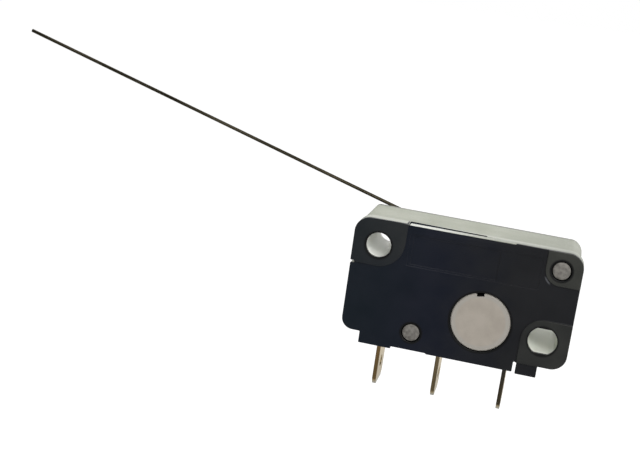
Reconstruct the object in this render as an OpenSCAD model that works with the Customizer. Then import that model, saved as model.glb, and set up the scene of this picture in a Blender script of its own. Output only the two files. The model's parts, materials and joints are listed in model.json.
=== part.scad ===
// Miniature rotary snap switch with a long wire lever.
// Millimetres, +Z up, +Y into the case, the black cover faces -Y.
// The modules draw in the case's own frame: X from the left edge, Y from the raised front face,
// Z from the line of the case's foot. in_frame() then puts the origin on the axis of the
// upper mounting hole, at the front face.

/* [Case] */
// Width of the case
case_w = 27.8; // [27.5:0.1:29]
// Height of the case, without its skirt
case_h = 14.45; // [14:0.05:16]
// Depth of the case, from the raised front face to the back
case_d = 10.3; // [10:0.1:12]
// Radius of the case's corners
corner_r = 1.85; // [1.2:0.05:2.2]
// Radius of the corner at the foot, on the left
foot_corner_r = 1.45; // [1:0.05:1.8]
// Thickness of the base's side walls
side_wall = 1.2; // [1:0.05:1.4]
// Thickness of the base's back wall, which is also the rear bearing
back_wall = 1.4; // [1.2:0.05:1.8]
// Wall of the tubes round the mounting holes and the rivets
boss_wall = 0.85; // [0.6:0.05:1]
// Depth of the base's front flange, which has the cover's outline
flange_t = 1.6; // [1.4:0.05:2]
// How far the base's left side lies inside its flange
body_left_in = 0.85; // [0.6:0.05:0.95]
// How far the base's top and right side lie inside its flange
body_in = 0.36; // [0.2:0.01:0.4]
// Radius of the base's upper corner on the left, behind the flange
body_left_r = 0.5; // [0.4:0.05:1]
// Radius of the base's upper corner on the right, behind the flange
body_right_r = 1.5; // [1:0.05:1.8]

/* [Cover] */
// Thickness of the cover's rim
rim_t = 0.6; // [0.5:0.05:0.8]
// Depth of the step that nests inside the base's walls
plug_t = 0.9; // [0.6:0.05:1.2]
// Gap all round that step
plug_gap = 0.08; // [0.04:0.01:0.15]
// How far the face lies below the raised corners
field_drop = 0.2; // [0.1:0.02:0.28]
// Depth of each of the two steps of the bare label panel
panel_drop = 0.08; // [0.04:0.01:0.1]
// Drop of the panel's lower edge below the top
panel_low_drop = 5.1; // [4.8:0.05:5.4]
// Drop of the panel's upper edge below the top
panel_high_drop = 1.1; // [0.7:0.05:1.4]
// Margin between the panel's first step, its second step and the raised corners
panel_margin = 0.45; // [0.3:0.05:0.6]
// Distance of the second step's right end from the right edge
label_right = 9.9; // [9:0.1:11]
// Width of the raised corner at the upper mounting hole
upper_boss_w = 6.43; // [5.8:0.05:7]
// Height of the raised corner at the upper mounting hole
upper_boss_h = 5.8; // [5.2:0.05:6.2]
// Width of the raised corner at the lower mounting hole
lower_boss_w = 5.85; // [5.4:0.05:6.2]
// Height of the raised corner at the lower mounting hole
lower_boss_h = 5.85; // [5.4:0.05:6.2]
// Width of the raised corner at the upper rivet
rivet_boss_w = 4.4; // [3.8:0.05:4.6]
// Height of the raised corner at the upper rivet
rivet_boss_h = 4.15; // [3.8:0.05:4.6]
// Height of the gauge notch in the left edge
gauge_notch_h = 0.35; // [0.2:0.05:0.5]
// Depth of the gauge notch in the left edge
gauge_notch_depth = 0.5; // [0.3:0.05:0.8]
// Height of the base's lip where it shows at the front
lip_h = 0.1; // [0.05:0.01:0.15]
// Depth of that lip, from the front face to the slot behind it
lip_depth = 1.2; // [1:0.05:1.4]
// Width of the slot at the lip's free end
lip_slot_w = 0.75; // [0.3:0.05:1]
// Width of the slot at the lip's root
lip_root_w = 0.12; // [0.1:0.01:0.2]
// Length of the lip's root, beyond the slot
lip_root_l = 1.97; // [1.5:0.01:4]
// Gap at the lip's free end
lip_gap = 0.15; // [0.1:0.01:0.2]
// Distance of the lip's root from the right edge
lip_right = 8.4; // [7.5:0.1:9]
// Gap all round the cover's tongue in the slot behind the lip
tongue_gap = 0.04; // [0.03:0.01:0.05]
// Length of the slot's narrow end that the tongue leaves free
tongue_short = 1.5; // [1:0.1:3]
// Depth of the tongue's root, below the base's top wall
tongue_root = 0.3; // [0.2:0.05:0.5]

/* [Skirt] */
// Height of the skirt below the foot
skirt_h = 1.3; // [0.8:0.05:1.6]
// Extra height of the skirt's two end pads
pad_h = 0.17; // [0.05:0.01:0.3]
// Width of the left end pad
pad_w = 4.1; // [3:0.1:4.5]
// Width of the shallow relief beside the left pad
relief_w = 4.4; // [3:0.1:5]
// Depth of that relief
relief_h = 0.11; // [0.05:0.01:0.2]
// Distance of the skirt from the left edge
skirt_left = 2.45; // [2:0.05:3]
// Distance of the skirt from the right edge
skirt_right = 3.25; // [2.8:0.05:3.6]
// Width of the tab at the skirt's right end
tab_end_w = 2.55; // [2.2:0.05:2.8]
// Width of the slit between the skirt and the tab
slit_w = 0.38; // [0.25:0.01:0.5]

/* [Mounting holes] */
// Distance of the upper hole from the left edge
hole_left = 3.2; // [3:0.05:3.4]
// Distance of the upper hole from the top
hole_drop = 3.2; // [2.9:0.05:3.3]
// Diameter of the upper hole
hole_d = 3.1; // [2.9:0.05:3.4]
// Distance of the lower hole from the right edge
lower_hole_right = 3.2; // [3:0.05:3.4]
// Height of the lower hole above the foot
lower_hole_up = 3.25; // [3.1:0.05:3.5]
// Width of the lower hole, which has two flats
flat_hole_w = 3.55; // [3.3:0.05:4]
// Height of the lower hole between its flats
flat_hole_h = 3.15; // [2.9:0.05:3.4]

/* [Rivets] */
// Diameter of the rivets
rivet_d = 2.2; // [1.6:0.05:2.3]
// Gap all round a rivet in its hole
rivet_gap = 0.08; // [0.04:0.01:0.12]
// Diameter of the heads set at the back
rivet_head_d = 3.1; // [2.7:0.05:3.4]
// Thickness of the heads set at the back
rivet_head_t = 0.5; // [0.3:0.05:0.7]
// How far the front ends lie below the face
rivet_sink = 0.08; // [0.02:0.01:0.15]
// Distance of the upper rivet from the right edge
upper_rivet_right = 2.5; // [2.2:0.05:2.6]
// Distance of the upper rivet from the top
upper_rivet_drop = 2.25; // [2.05:0.05:2.6]
// Distance of the lower rivet to the right of the middle between the two left terminals
lower_rivet_off = 0.19; // [0:0.01:0.4]
// Height of the lower rivet above the foot
lower_rivet_up = 1.05; // [0.9:0.05:1.3]

/* [Rotor] */
// Distance of the rotor's axis from the right edge
rotor_right = 10.9; // [10.6:0.05:11.2]
// Height of the rotor's axis above the foot
rotor_z = 4.05; // [3.8:0.05:4.3]
// Diameter of the rotor's front disc, which turns in the cover
disc_d = 7.3; // [6.8:0.05:7.5]
// Thickness of the front disc
disc_t = 1.8; // [1.4:0.05:2]
// How far the front disc lies below the cover's face
disc_sink = 0.12; // [0.05:0.01:0.25]
// Depth of the shallow dish in the front disc
dish_depth = 0.12; // [0.05:0.01:0.2]
// Width of the rim round that dish
dish_rim = 0.42; // [0.3:0.02:0.6]
// Width of the notch in the front disc
notch_w = 0.92; // [0.6:0.02:1.2]
// Depth of the notch in the front disc
notch_depth = 0.43; // [0.25:0.01:0.5]
// Chamfer round the disc's rim and the hub's end
edge_chamfer = 0.12; // [0.05:0.01:0.2]
// Room round the disc inside the base
disc_room = 0.2; // [0.15:0.01:0.25]
// Diameter of the drum behind the disc
drum_d = 4.8; // [4.4:0.05:5]
// Diameter of the rear journal
journal_d = 4; // [3.4:0.05:4.2]
// Gap all round the disc and the journal in their bearings
running_gap = 0.05; // [0.03:0.01:0.09]
// Gap at each end of the drum
end_gap = 0.1; // [0.05:0.01:0.15]
// How far the hub stands out behind the case
hub_out = 1.9; // [1.6:0.05:2.4]
// Turn of the notch and of the lever's first leg, to the left of upright
rest_turn = 8.4; // [0:0.2:14]
// Room between the tip of the spring's arm and the upper hole's tube
pin_room = 0.1; // [0.05:0.01:0.2]
// Height of the spring's pin above the moving blade at rest
pin_rise = 1.19; // [1.05:0.01:1.3]
// Room between the arm and the moving blade, along the case's depth
arm_room = 0.43; // [0.3:0.01:0.6]
// Width of the arm at the drum
arm_root_w = 2.6; // [2:0.05:3]
// Radius of the arm's tip
arm_tip_r = 0.7; // [0.6:0.02:0.8]
// Diameter of the spring's pin on the arm
pin_d = 0.7; // [0.5:0.02:0.8]
// Turn of the rotor from rest to its stop
rotor_travel = 14; // [10:0.5:15]
// Gap at the arm's two stops
stop_gap = 0.09; // [0.05:0.01:0.15]
// Radius of the cover's two stop pins
stop_r = 0.6; // [0.4:0.02:0.8]
// Distance of the stop pins from the arm's tip, along the arm
stop_back = 4; // [3.4:0.1:5]

/* [Wire lever] */
// Diameter of the wire
wire_d = 0.45; // [0.35:0.01:0.7]
// How much thicker the wire's radius is in its bends, where it is pressed round a former
bend_swell = 0.006; // [0.004:0.001:0.01]
// Gap all round the wire in the hub
wire_gap = 0.03; // [0.02:0.01:0.05]
// Depth of the leg that goes into the hub
wire_hook = 3; // [2:0.1:4]
// Radius of the bend at the hub, to the wire's centre line
hook_bend_r = 0.5; // [0.4:0.02:0.6]
// Length of the first leg, from the axis to the corner of the bend
lever_leg = 6.4; // [5:0.1:9]
// Length of the long arm, from that corner to the tip
lever_len = 68.3; // [40:0.1:90]
// Rise of the long arm to the left, in degrees
lever_rise = 16; // [5:0.2:25]
// Radius of the lever's bend, to the wire's centre line
lever_bend_r = 1.6; // [1:0.05:3]
// Gap between the wire and the back of the case
lever_gap = 0.78; // [0.6:0.02:0.95]

/* [Terminals] */
// Width of the terminal blades below the case
tab_w = 4.75; // [4.5:0.05:5]
// Width of the same strips inside the case
leaf_w = 2.8; // [2.4:0.05:3]
// Height of the blades' shoulders above the foot
shoulder_up = 0.5; // [0.3:0.05:0.7]
// Thickness of the terminal blades
tab_t = 0.5; // [0.4:0.02:0.6]
// Length of the blades below the skirt
tab_drop = 6.15; // [4:0.05:9]
// Length of the taper at the tips
tip_len = 0.8; // [0.5:0.1:1.5]
// Width of the tips
tip_w = 3.5; // [2.5:0.05:4]
// Diameter of the eyelets
eyelet_d = 1.5; // [1.2:0.05:1.8]
// Height of the eyelets above the tips
eyelet_up = 2.6; // [2.2:0.05:3]
// Radius of the bends, to the centre line
bend_r = 0.6; // [0.5:0.02:0.8]
// Gap all round the blades in the base
slot_gap = 0.03; // [0.02:0.01:0.06]
// Distance of the common terminal from the left edge
common_x = 4.82; // [4.6:0.02:5]
// Distance of the middle terminal from the rotor's axis
middle_off = 4.55; // [4.4:0.05:5]
// Distance of the right terminal from the rotor's axis
right_off = 3.8; // [3.5:0.05:3.9]

/* [Snap mechanism] */
// Thickness of the moving blade
blade_t = 0.25; // [0.15:0.01:0.3]
// Radius of the blade's rolled pivot edge
pivot_r = 0.15; // [0.13:0.01:0.2]
// Gap between the pivot edge and its groove
pivot_gap = 0.02; // [0.01:0.005:0.04]
// Distance of the groove from the common terminal's blade
pivot_off = 2.98; // [2.8:0.02:3.2]
// Width of each of the blade's two tines
tine_w = 0.6; // [0.5:0.02:0.7]
// Length of the blade beyond the contacts
blade_end = 1; // [0.7:0.05:1.2]
// Distance of the contacts from the right terminal
contact_in = 2; // [1.9:0.05:2.4]
// Height of a contact's ridge
contact_h = 0.35; // [0.25:0.01:0.4]
// Width of a contact's foot
contact_w = 0.7; // [0.5:0.02:0.8]
// Length of a contact's ridge
contact_l = 1.3; // [1:0.05:1.5]
// Gap between the closed contacts at rest
touch_gap = 0.02; // [0.01:0.005:0.04]
// Gap between the open contacts at rest
contact_gap = 0.42; // [0.3:0.01:0.5]
// How far the fixed leaves and the blade run past a contact
contact_margin = 0.15; // [0.1:0.01:0.2]
// Room between the drum and the middle terminal's shelf
shelf_room = 0.3; // [0.25:0.01:0.4]
// Outer diameter of the spring
spring_d = 1.15; // [1:0.01:1.2]
// Diameter of the spring's wire
spring_wire_d = 0.18; // [0.12:0.01:0.2]
// Least distance between the spring's turns
spring_pitch = 0.32; // [0.26:0.01:0.5]
// Gap between the spring's hook and its pin
hook_gap = 0.05; // [0.04:0.01:0.08]
// Drop of the common terminal's shelf below the pivot
common_shelf_drop = 3.05; // [2.9:0.05:3.3]
// Height of the common terminal's posts above the pivot
post_up = 0.6; // [0.4:0.05:0.9]
// Gap round the spring's leg in its hole
anchor_gap = 0.12; // [0.08:0.01:0.15]
// Width of the blade's bridge between its window and the spring's hole
bridge_w = 0.55; // [0.4:0.05:0.6]
// Length of the spring's straight stretch between the pin and the coil
hook_len = 1.4; // [1.2:0.05:1.6]
// Room between the coil and the end of the blade's window
coil_room = 0.5; // [0.4:0.05:0.7]
// Distance of the spring's hole from the contacts
anchor_back = 3.95; // [3.5:0.05:4.3]

/* [Hidden] */
$fn = 64;
cream = [0.80, 0.80, 0.74];
beige = [0.72, 0.68, 0.62];
black = [0.11, 0.12, 0.15];
grey = [0.52, 0.50, 0.47];
brass = [0.71, 0.60, 0.36];
copper = [0.76, 0.55, 0.36];
gold = [0.85, 0.70, 0.35];
steel = [0.30, 0.29, 0.25];
// Cuts run this far past the faces that they open
past = 1;
// Faces that are joined to a body start this far inside it
lap = 0.1;
// Straight stretches of wire start this far inside the bends
wire_lap = 0.03;
// Least radius of a moulded inner corner
least_r = 0.3;

// Places in the case's frame, as X and Z
upper_hole = [hole_left, case_h - hole_drop];
lower_hole = [case_w - lower_hole_right, lower_hole_up];
upper_rivet_at = [case_w - upper_rivet_right, case_h - upper_rivet_drop];
rotor_x = case_w - rotor_right;
rotor_at = [rotor_x, rotor_z];
middle_x = rotor_x - middle_off;
right_x = rotor_x + right_off;
lower_rivet_at = [(common_x + middle_x) / 2 + lower_rivet_off, lower_rivet_up];

// Depths along Y
plug_back = rim_t + plug_t;
flange_back = rim_t + flange_t;
cavity_back = case_d - back_wall;
disc_front = field_drop + disc_sink;
disc_back = disc_front + disc_t;
drum_back = cavity_back - end_gap;
mid_y = case_d / 2;
arm_back = mid_y - leaf_w / 2 - arm_room;
wire_y = case_d + lever_gap + wire_d / 2;
hub_back = case_d + hub_out;

// Bosses in the base
upper_tube_r = hole_d / 2 + boss_wall;
lower_tube_r = flat_hole_w / 2 + boss_wall;
rivet_hole_r = rivet_d / 2 + rivet_gap;
rivet_tube_r = rivet_hole_r + boss_wall;
// Each tube of the base as its place and outer radius
tubes = [
    [upper_hole, upper_tube_r],
    [lower_hole, lower_tube_r],
    [upper_rivet_at, rivet_tube_r],
    [lower_rivet_at, rivet_tube_r]
];

// The lip at the top, from its free end to its root
lip_left_x = upper_boss_w;
lip_right_x = case_w - lip_right;
lip_slot_end = lip_right_x - lip_root_l;
lip_low = case_h - lip_h - (rim_t - field_drop);

// The skirt's slit and the part of the foot that carries the terminals
slit_left = case_w - skirt_right - tab_end_w - slit_w;
plinth_h = skirt_h - relief_h;

// The snap mechanism is stacked on the drum's top
shelf_z = rotor_z + drum_d / 2 + shelf_room + tab_t / 2;
open_contact_z = shelf_z + tab_t / 2;
blade_z = open_contact_z + 2 * contact_h + contact_gap + blade_t / 2;
closed_contact_z = blade_z + blade_t / 2 + 2 * contact_h + touch_gap;
closed_arm_z = closed_contact_z + tab_t / 2;
tip_z = -skirt_h - tab_drop;
contact_x = right_x - contact_in;
leaf_end = contact_l / 2 + contact_margin;
blade_tip_w = contact_l + 2 * contact_margin;
groove_x = common_x + pivot_off;
pivot_x = groove_x + pivot_r * sqrt(2) + pivot_gap;
anchor_x = contact_x - anchor_back;
common_shelf_z = blade_z - common_shelf_drop;
tine_gap = leaf_w - 2 * tine_w;

// The spring's arm points left and up, and a stop pin stands on each side of its travel
pin_at = [upper_hole[0] + upper_tube_r + pin_room + arm_tip_r, blade_z + pin_rise];
arm_len = norm(pin_at - rotor_at);
arm_angle = atan2(pin_at[1] - rotor_z, pin_at[0] - rotor_x);
stop_reach = arm_len - stop_back;
arm_half_at_stop = arm_root_w / 2 + (arm_tip_r - arm_root_w / 2) * stop_reach / arm_len;
stop_side = arm_half_at_stop + stop_gap + stop_r;
rest_stop_at = rotor_at + turned([stop_reach, -stop_side], arm_angle);
travel_stop_at = rotor_at + turned([stop_reach, stop_side], arm_angle + rotor_travel);

// The spring runs from the arm's pin to the blade's hole.
// Its own frame has X along that line from the pin, Z up from it, and Y along the case's depth.
spring_line = [anchor_x, blade_z] - pin_at;
spring_l = norm(spring_line);
spring_angle = atan2(spring_line[1], spring_line[0]);
spring_r = (spring_d - spring_wire_d) / 2;
hook_r = (pin_d + spring_wire_d) / 2 + hook_gap;
coil_end = spring_l - bridge_w - coil_room;
spring_turns = floor((coil_end - hook_len) / spring_pitch);
// The hook's open end and its steps round the pin, in degrees
hook_end = 300;
hook_step = 30;
// Steps in one turn of the coil, and sides of its wire
coil_steps = 10;
wire_sides = 6;

// The lever bends from the hub's slot to the long arm
slot_angle = 90 + rest_turn;
lever_turn = 180 - lever_rise - slot_angle;
lever_cut = lever_bend_r * tan(lever_turn / 2);

// Turns a point of the XZ plane, counter-clockwise as seen from the front
function turned(p, a) = [p[0] * cos(a) - p[1] * sin(a), p[0] * sin(a) + p[1] * cos(a)];
function unit(v) = v / norm(v);

// Moves a piece from the case's frame to the part's frame
module in_frame() {
    translate([-upper_hole[0], 0, -upper_hole[1]]) children();
}

// Extrudes an XZ outline from depth front to depth back
module slab(front, back) {
    translate([0, back, 0]) rotate([90, 0, 0]) linear_extrude(height = back - front) children();
}

// Extrudes a YZ outline from left to right
module across(left, right) {
    translate([left, 0, 0]) rotate([90, 0, 90]) linear_extrude(height = right - left) children();
}

// A round pin or bore along Y
module rod(at, r, front, back) {
    translate([at[0], back, at[1]]) rotate([90, 0, 0]) cylinder(r = r, h = back - front);
}

// What a rounded corner takes away, at the lower left
module corner_waste(r) {
    difference() {
        translate([-past, -past]) square(r + past);
        translate([r, r]) circle(r);
    }
}

// A rectangle with its own radius at each corner
module rounded_block(size, lower_left, lower_right, upper_right, upper_left) {
    difference() {
        square(size);
        if (lower_left > 0) corner_waste(lower_left);
        if (lower_right > 0) translate([size[0], 0]) mirror([1, 0]) corner_waste(lower_right);
        if (upper_right > 0) translate(size) rotate(180) corner_waste(upper_right);
        if (upper_left > 0) translate([0, size[1]]) mirror([0, 1]) corner_waste(upper_left);
    }
}

// The case's outline, and the same outline moved in by a wall
module case_outline(inset = 0) {
    size = [case_w - 2 * inset, case_h - 2 * inset];
    r = max(corner_r - inset, least_r);
    foot_r = max(foot_corner_r - inset, least_r);
    translate([inset, inset]) rounded_block(size, foot_r, r, r, r);
}

// The base's outline behind its flange
module body_outline() {
    size = [case_w - body_left_in - body_in, case_h - body_in];
    translate([body_left_in, 0]) rounded_block(size, foot_corner_r, corner_r, body_right_r, body_left_r);
}

// The base's hollow behind its flange, where only its left wall steps in
module hollow_outline() {
    left = body_left_in + side_wall - body_in;
    size = [case_w - side_wall - left, case_h - 2 * side_wall];
    r = max(corner_r - side_wall, least_r);
    translate([left, side_wall]) rounded_block(size, least_r, r, r, least_r);
}

module double_flat(at, w, h) {
    translate(at) intersection() {
        circle(w / 2);
        square([w + past, h], center = true);
    }
}

// The cover's outline, with the skirt, its slit and the end tab
module cover_outline() {
    difference() {
        union() {
            case_outline();
            translate([skirt_left, -skirt_h])
                square([case_w - skirt_right - skirt_left, skirt_h + side_wall]);
            translate([skirt_left, -skirt_h - pad_h]) square([pad_w, pad_h + side_wall]);
            translate([slit_left, -skirt_h - pad_h]) square([slit_w + tab_end_w, pad_h + side_wall]);
        }
        translate([skirt_left + pad_w, -skirt_h - past]) square([relief_w, relief_h + past]);
        translate([slit_left, -skirt_h - pad_h - past]) square([slit_w, skirt_h + pad_h + past]);
    }
}

// The gauge notch in the left edge, where the raised corner ends
module gauge_notch() {
    slab(-past, flange_back + past) translate([-past, case_h - upper_boss_h - gauge_notch_h / 2])
        square([gauge_notch_depth + past, gauge_notch_h]);
}

// The three corners that stand proud of the cover's face
module raised_corners() {
    upper_r = upper_boss_w - hole_left;
    lower_r = lower_boss_w - (case_w - lower_hole[0]);
    rivet_r = rivet_boss_w - upper_rivet_right;
    translate([0, case_h - upper_boss_h])
        rounded_block([upper_boss_w, upper_boss_h], 0, upper_r, 0, corner_r);
    translate([case_w - lower_boss_w, 0])
        rounded_block([lower_boss_w, lower_boss_h], 0, corner_r, 0, lower_r);
    translate([case_w - rivet_boss_w, case_h - rivet_boss_h])
        rounded_block([rivet_boss_w, rivet_boss_h], rivet_r, 0, corner_r, 0);
}

// The part of the cover that nests inside the base's walls and round its tubes
module cover_plug() {
    difference() {
        case_outline(side_wall + plug_gap);
        for (tube = tubes) translate(tube[0]) circle(tube[1] + plug_gap);
    }
}

// The label panel is bare: two shallow steps between the raised corners
module panel_steps() {
    left = upper_boss_w + panel_margin;
    right = case_w - rivet_boss_w - panel_margin;
    panel_low = case_h - panel_low_drop;
    panel_high = case_h - panel_high_drop;
    slab(field_drop - past, field_drop + panel_drop)
        translate([left, panel_low]) square([right - left, panel_high - panel_low]);
    slab(field_drop - past, field_drop + 2 * panel_drop)
        translate([left + panel_margin, panel_low + panel_margin / 2])
            square([case_w - label_right - left - panel_margin, panel_high - panel_low - panel_margin]);
}

// The base's lip lies on a bevel of the cover's top edge, so this YZ outline serves both
module lip_section(front, top, back) {
    polygon([[front, top], [front, case_h - lip_h], [field_drop, case_h - lip_h],
        [rim_t, lip_low], [back, lip_low], [back, top]]);
}

module holes(front, back) {
    rod(upper_hole, hole_d / 2, front, back);
    slab(front, back) double_flat(lower_hole, flat_hole_w, flat_hole_h);
    rod(upper_rivet_at, rivet_hole_r, front, back);
    rod(lower_rivet_at, rivet_hole_r, front, back);
}

module base() {
    color(cream) in_frame() difference() {
        union() {
            difference() {
                union() {
                    slab(rim_t, flange_back) case_outline();
                    slab(flange_back - lap, case_d) body_outline();
                }
                slab(rim_t - past, flange_back) case_outline(side_wall);
                slab(flange_back - lap, cavity_back) hollow_outline();
            }
            slab(rim_t, case_d - lap) intersection() {
                for (tube = tubes) translate(tube[0]) circle(tube[1]);
                body_outline();
            }
            slab(rim_t, case_d) translate([skirt_left + plug_gap, -plinth_h])
                square([slit_left - skirt_left - 2 * plug_gap, plinth_h + side_wall / 2]);
            across(lip_left_x + lip_gap, lip_right_x)
                lip_section(field_drop, case_h, rim_t + lap);
        }
        holes(-past, case_d + past);
        for (at = [upper_rivet_at, lower_rivet_at])
            rod(at, rivet_head_d / 2 + rivet_gap, case_d - rivet_head_t, case_d + past);
        rod(rotor_at, journal_d / 2 + running_gap, cavity_back - past, case_d + past);
        rod(rotor_at, disc_d / 2 + disc_room, rim_t - past, disc_back + disc_room);
        terminal_slot(common_x, common_shelf_z);
        terminal_slot(middle_x, shelf_z);
        terminal_slot(right_x, closed_arm_z);
        gauge_notch();
        lip_slot();
    }
}

// A terminal's slot through the foot: wide up to the shoulders, then open as far up as the strip stands
module terminal_slot(x, top) {
    blade_half = tab_w / 2 + slot_gap;
    leaf_half = leaf_w / 2 + slot_gap;
    half_t = tab_t / 2 + slot_gap;
    across(x - half_t, x + half_t) {
        translate([mid_y - blade_half, -plinth_h - past])
            square([2 * blade_half, plinth_h + past + shoulder_up + slot_gap]);
        translate([mid_y - leaf_half, 0]) square([2 * leaf_half, top]);
    }
}

// The tapered outline of the slot behind the lip, seen from above, up to the given place
module slot_outline(end, gap = 0) {
    share = (end - lip_left_x) / (lip_slot_end - lip_left_x);
    end_w = lip_slot_w + (lip_root_w - lip_slot_w) * share;
    left = lip_left_x + gap;
    front = lip_depth + gap;
    back = lip_depth - gap;
    polygon([[left, front], [left, back + lip_slot_w], [end, back + end_w], [end, front]]);
}

// The slot behind the lip, and the gap at the lip's free end
module lip_slot() {
    translate([0, 0, case_h - side_wall - past]) linear_extrude(height = side_wall + 2 * past) {
        slot_outline(lip_slot_end);
        translate([lip_left_x, rim_t - past]) square([lip_gap, lip_depth - rim_t + past + lip_root_w]);
    }
}

// The cover's tongue, which stands in that slot
module tongue() {
    low = case_h - side_wall - plug_gap - tongue_root;
    translate([0, 0, low]) linear_extrude(height = case_h - tongue_gap - low)
        slot_outline(lip_slot_end - tongue_short, tongue_gap);
}

module cover() {
    color(black) in_frame() {
        difference() {
            union() {
                slab(field_drop, rim_t) cover_outline();
                slab(0, field_drop + lap) raised_corners();
                slab(rim_t - lap, plug_back) cover_plug();
                for (at = [rest_stop_at, travel_stop_at]) rod(at, stop_r, plug_back - lap, arm_back);
            }
            holes(-past, plug_back + past);
            rod(rotor_at, disc_d / 2 + running_gap, -past, plug_back + past);
            gauge_notch();
            panel_steps();
            across(lip_left_x, lip_right_x + lip_gap)
                lip_section(field_drop - past, case_h + past, rim_t + past);
        }
        tongue();
    }
}

// A rivet from the cover's face to the head set in the base's back
module rivet(at, front) {
    rod(at, rivet_d / 2, front + rivet_sink, case_d - rivet_sink);
    rod(at, rivet_head_d / 2, case_d - rivet_head_t, case_d - rivet_sink);
}

module upper_rivet() {
    color(grey) in_frame() rivet(upper_rivet_at, 0);
}

module lower_rivet() {
    color(grey) in_frame() rivet(lower_rivet_at, field_drop);
}

// Local X points out from the rotor's axis at the given angle, local Y runs into the case
module radial(angle) {
    translate([rotor_x, 0, rotor_z]) rotate([0, -angle, 0]) children();
}

// The rotor's turned form: dished disc, drum, journal and hub
module rotor_body() {
    disc_r = disc_d / 2;
    dish_r = disc_r - dish_rim;
    hub_r = journal_d / 2;
    translate([rotor_x, 0, rotor_z]) rotate([-90, 0, 0]) rotate_extrude() polygon([
        [0, disc_front + dish_depth], [dish_r - dish_depth, disc_front + dish_depth],
        [dish_r, disc_front], [disc_r - edge_chamfer, disc_front], [disc_r, disc_front + edge_chamfer],
        [disc_r, disc_back], [drum_d / 2, disc_back], [drum_d / 2, drum_back], [hub_r, drum_back],
        [hub_r, hub_back - edge_chamfer], [hub_r - edge_chamfer, hub_back], [0, hub_back]]);
}

module rotor() {
    wire_r = wire_d / 2 + wire_gap;
    bend_room = hook_bend_r + wire_r;
    color(beige) in_frame() difference() {
        union() {
            rotor_body();
            slab(disc_back - lap, arm_back) translate(rotor_at) rotate(arm_angle) {
                tip_half = arm_tip_r - lap / 2;
                polygon([[0, -arm_root_w / 2], [arm_len, -tip_half],
                    [arm_len, tip_half], [0, arm_root_w / 2]]);
                translate([arm_len, 0]) circle(arm_tip_r);
            }
            rod(pin_at, pin_d / 2, disc_back, mid_y + spring_d / 2);
        }
        radial(slot_angle) {
            translate([disc_d / 2 - notch_depth, disc_front - past, -notch_w / 2])
                cube([notch_depth + past, disc_t + 2 * past, notch_w]);
            translate([0, wire_y - wire_r, -wire_r]) cube([journal_d, hub_out + past, 2 * wire_r]);
        }
        rod(rotor_at, wire_r, wire_y - wire_hook - wire_gap, hub_back);
        rod(rotor_at, bend_room, wire_y - bend_room, hub_back + past);
    }
}

// A straight stretch of wire along local X
module straight_wire(from, to) {
    translate([from, 0, 0]) rotate([0, 90, 0]) cylinder(r = wire_d / 2, h = to - from);
}

// A bent stretch of wire in the local XY plane, from the -Y side of the bend's centre
module bent_wire(bend, angle) {
    rotate(-90) rotate_extrude(angle = angle) translate([bend, 0]) circle(wire_d / 2 + bend_swell);
}

// The lever: a leg in the hub, a bend to the slot, a bend to the long arm.
// Each straight stretch ends a little way inside the bends.
module wire_lever() {
    color(steel) in_frame() {
        rod(rotor_at, wire_d / 2, wire_y - wire_hook, wire_y - hook_bend_r + wire_lap);
        radial(slot_angle) translate([0, wire_y, 0]) {
            translate([hook_bend_r, -hook_bend_r, 0]) rotate(180) bent_wire(hook_bend_r, 90);
            straight_wire(hook_bend_r - wire_lap, lever_leg - lever_cut + wire_lap);
            translate([lever_leg - lever_cut, 0, lever_bend_r]) rotate([90, 0, 0])
                bent_wire(lever_bend_r, lever_turn);
            translate([lever_leg, 0, 0]) rotate([0, -lever_turn, 0])
                straight_wire(lever_cut - wire_lap, lever_len);
        }
    }
}

// A quarter of a bent strip, about the origin, in the upper left quadrant
module strip_bend() {
    intersection() {
        difference() {
            circle(bend_r + tab_t / 2);
            circle(bend_r - tab_t / 2);
        }
        translate([-bend_r - tab_t, 0]) square(bend_r + tab_t);
    }
}

// A strip that rises from the origin and turns right, measured along its centre line
module turned_strip(rise, run) {
    translate([-tab_t / 2, 0]) square([tab_t, rise - bend_r]);
    translate([bend_r, rise - bend_r]) strip_bend();
    translate([bend_r, rise - tab_t / 2]) square([run - bend_r, tab_t]);
}

// A terminal seen from the side: tapered at the tip, wide up to its shoulders, narrow above, with its eyelet
module terminal_side(top) {
    difference() {
        union() {
            polygon([[mid_y - tab_w / 2, shoulder_up], [mid_y - tab_w / 2, tip_z + tip_len],
                [mid_y - tip_w / 2, tip_z], [mid_y + tip_w / 2, tip_z],
                [mid_y + tab_w / 2, tip_z + tip_len], [mid_y + tab_w / 2, shoulder_up]]);
            translate([mid_y - leaf_w / 2, 0]) square([leaf_w, top]);
        }
        translate([mid_y, tip_z + eyelet_up]) circle(eyelet_d / 2);
    }
}

// Gives a strip's XZ outline the terminal's width, taper and eyelet
module terminal(top) {
    color(brass) in_frame() intersection() {
        slab(mid_y - tab_w / 2 - past, mid_y + tab_w / 2 + past) children();
        across(0, case_w) terminal_side(top);
    }
}

module common_terminal() {
    post_top = blade_z + post_up;
    difference() {
        terminal(post_top) {
            translate([common_x, tip_z]) turned_strip(common_shelf_z - tip_z, pivot_off - bend_r);
            translate([groove_x - bend_r, common_shelf_z + bend_r]) rotate(180) strip_bend();
            translate([groove_x - tab_t / 2, common_shelf_z + bend_r])
                square([tab_t, post_top - common_shelf_z - bend_r]);
        }
        in_frame() {
            // The fork that the spring passes through
            translate([groove_x - tab_t, mid_y - tine_gap / 2, common_shelf_z + bend_r])
                cube([2 * tab_t, tine_gap, post_top - common_shelf_z]);
            // The groove that holds the blade's pivot edge
            slab(mid_y - tab_w, mid_y + tab_w)
                polygon([[groove_x, blade_z], [groove_x + tab_t, blade_z + tab_t],
                    [groove_x + tab_t, blade_z - tab_t]]);
        }
    }
}

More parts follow.
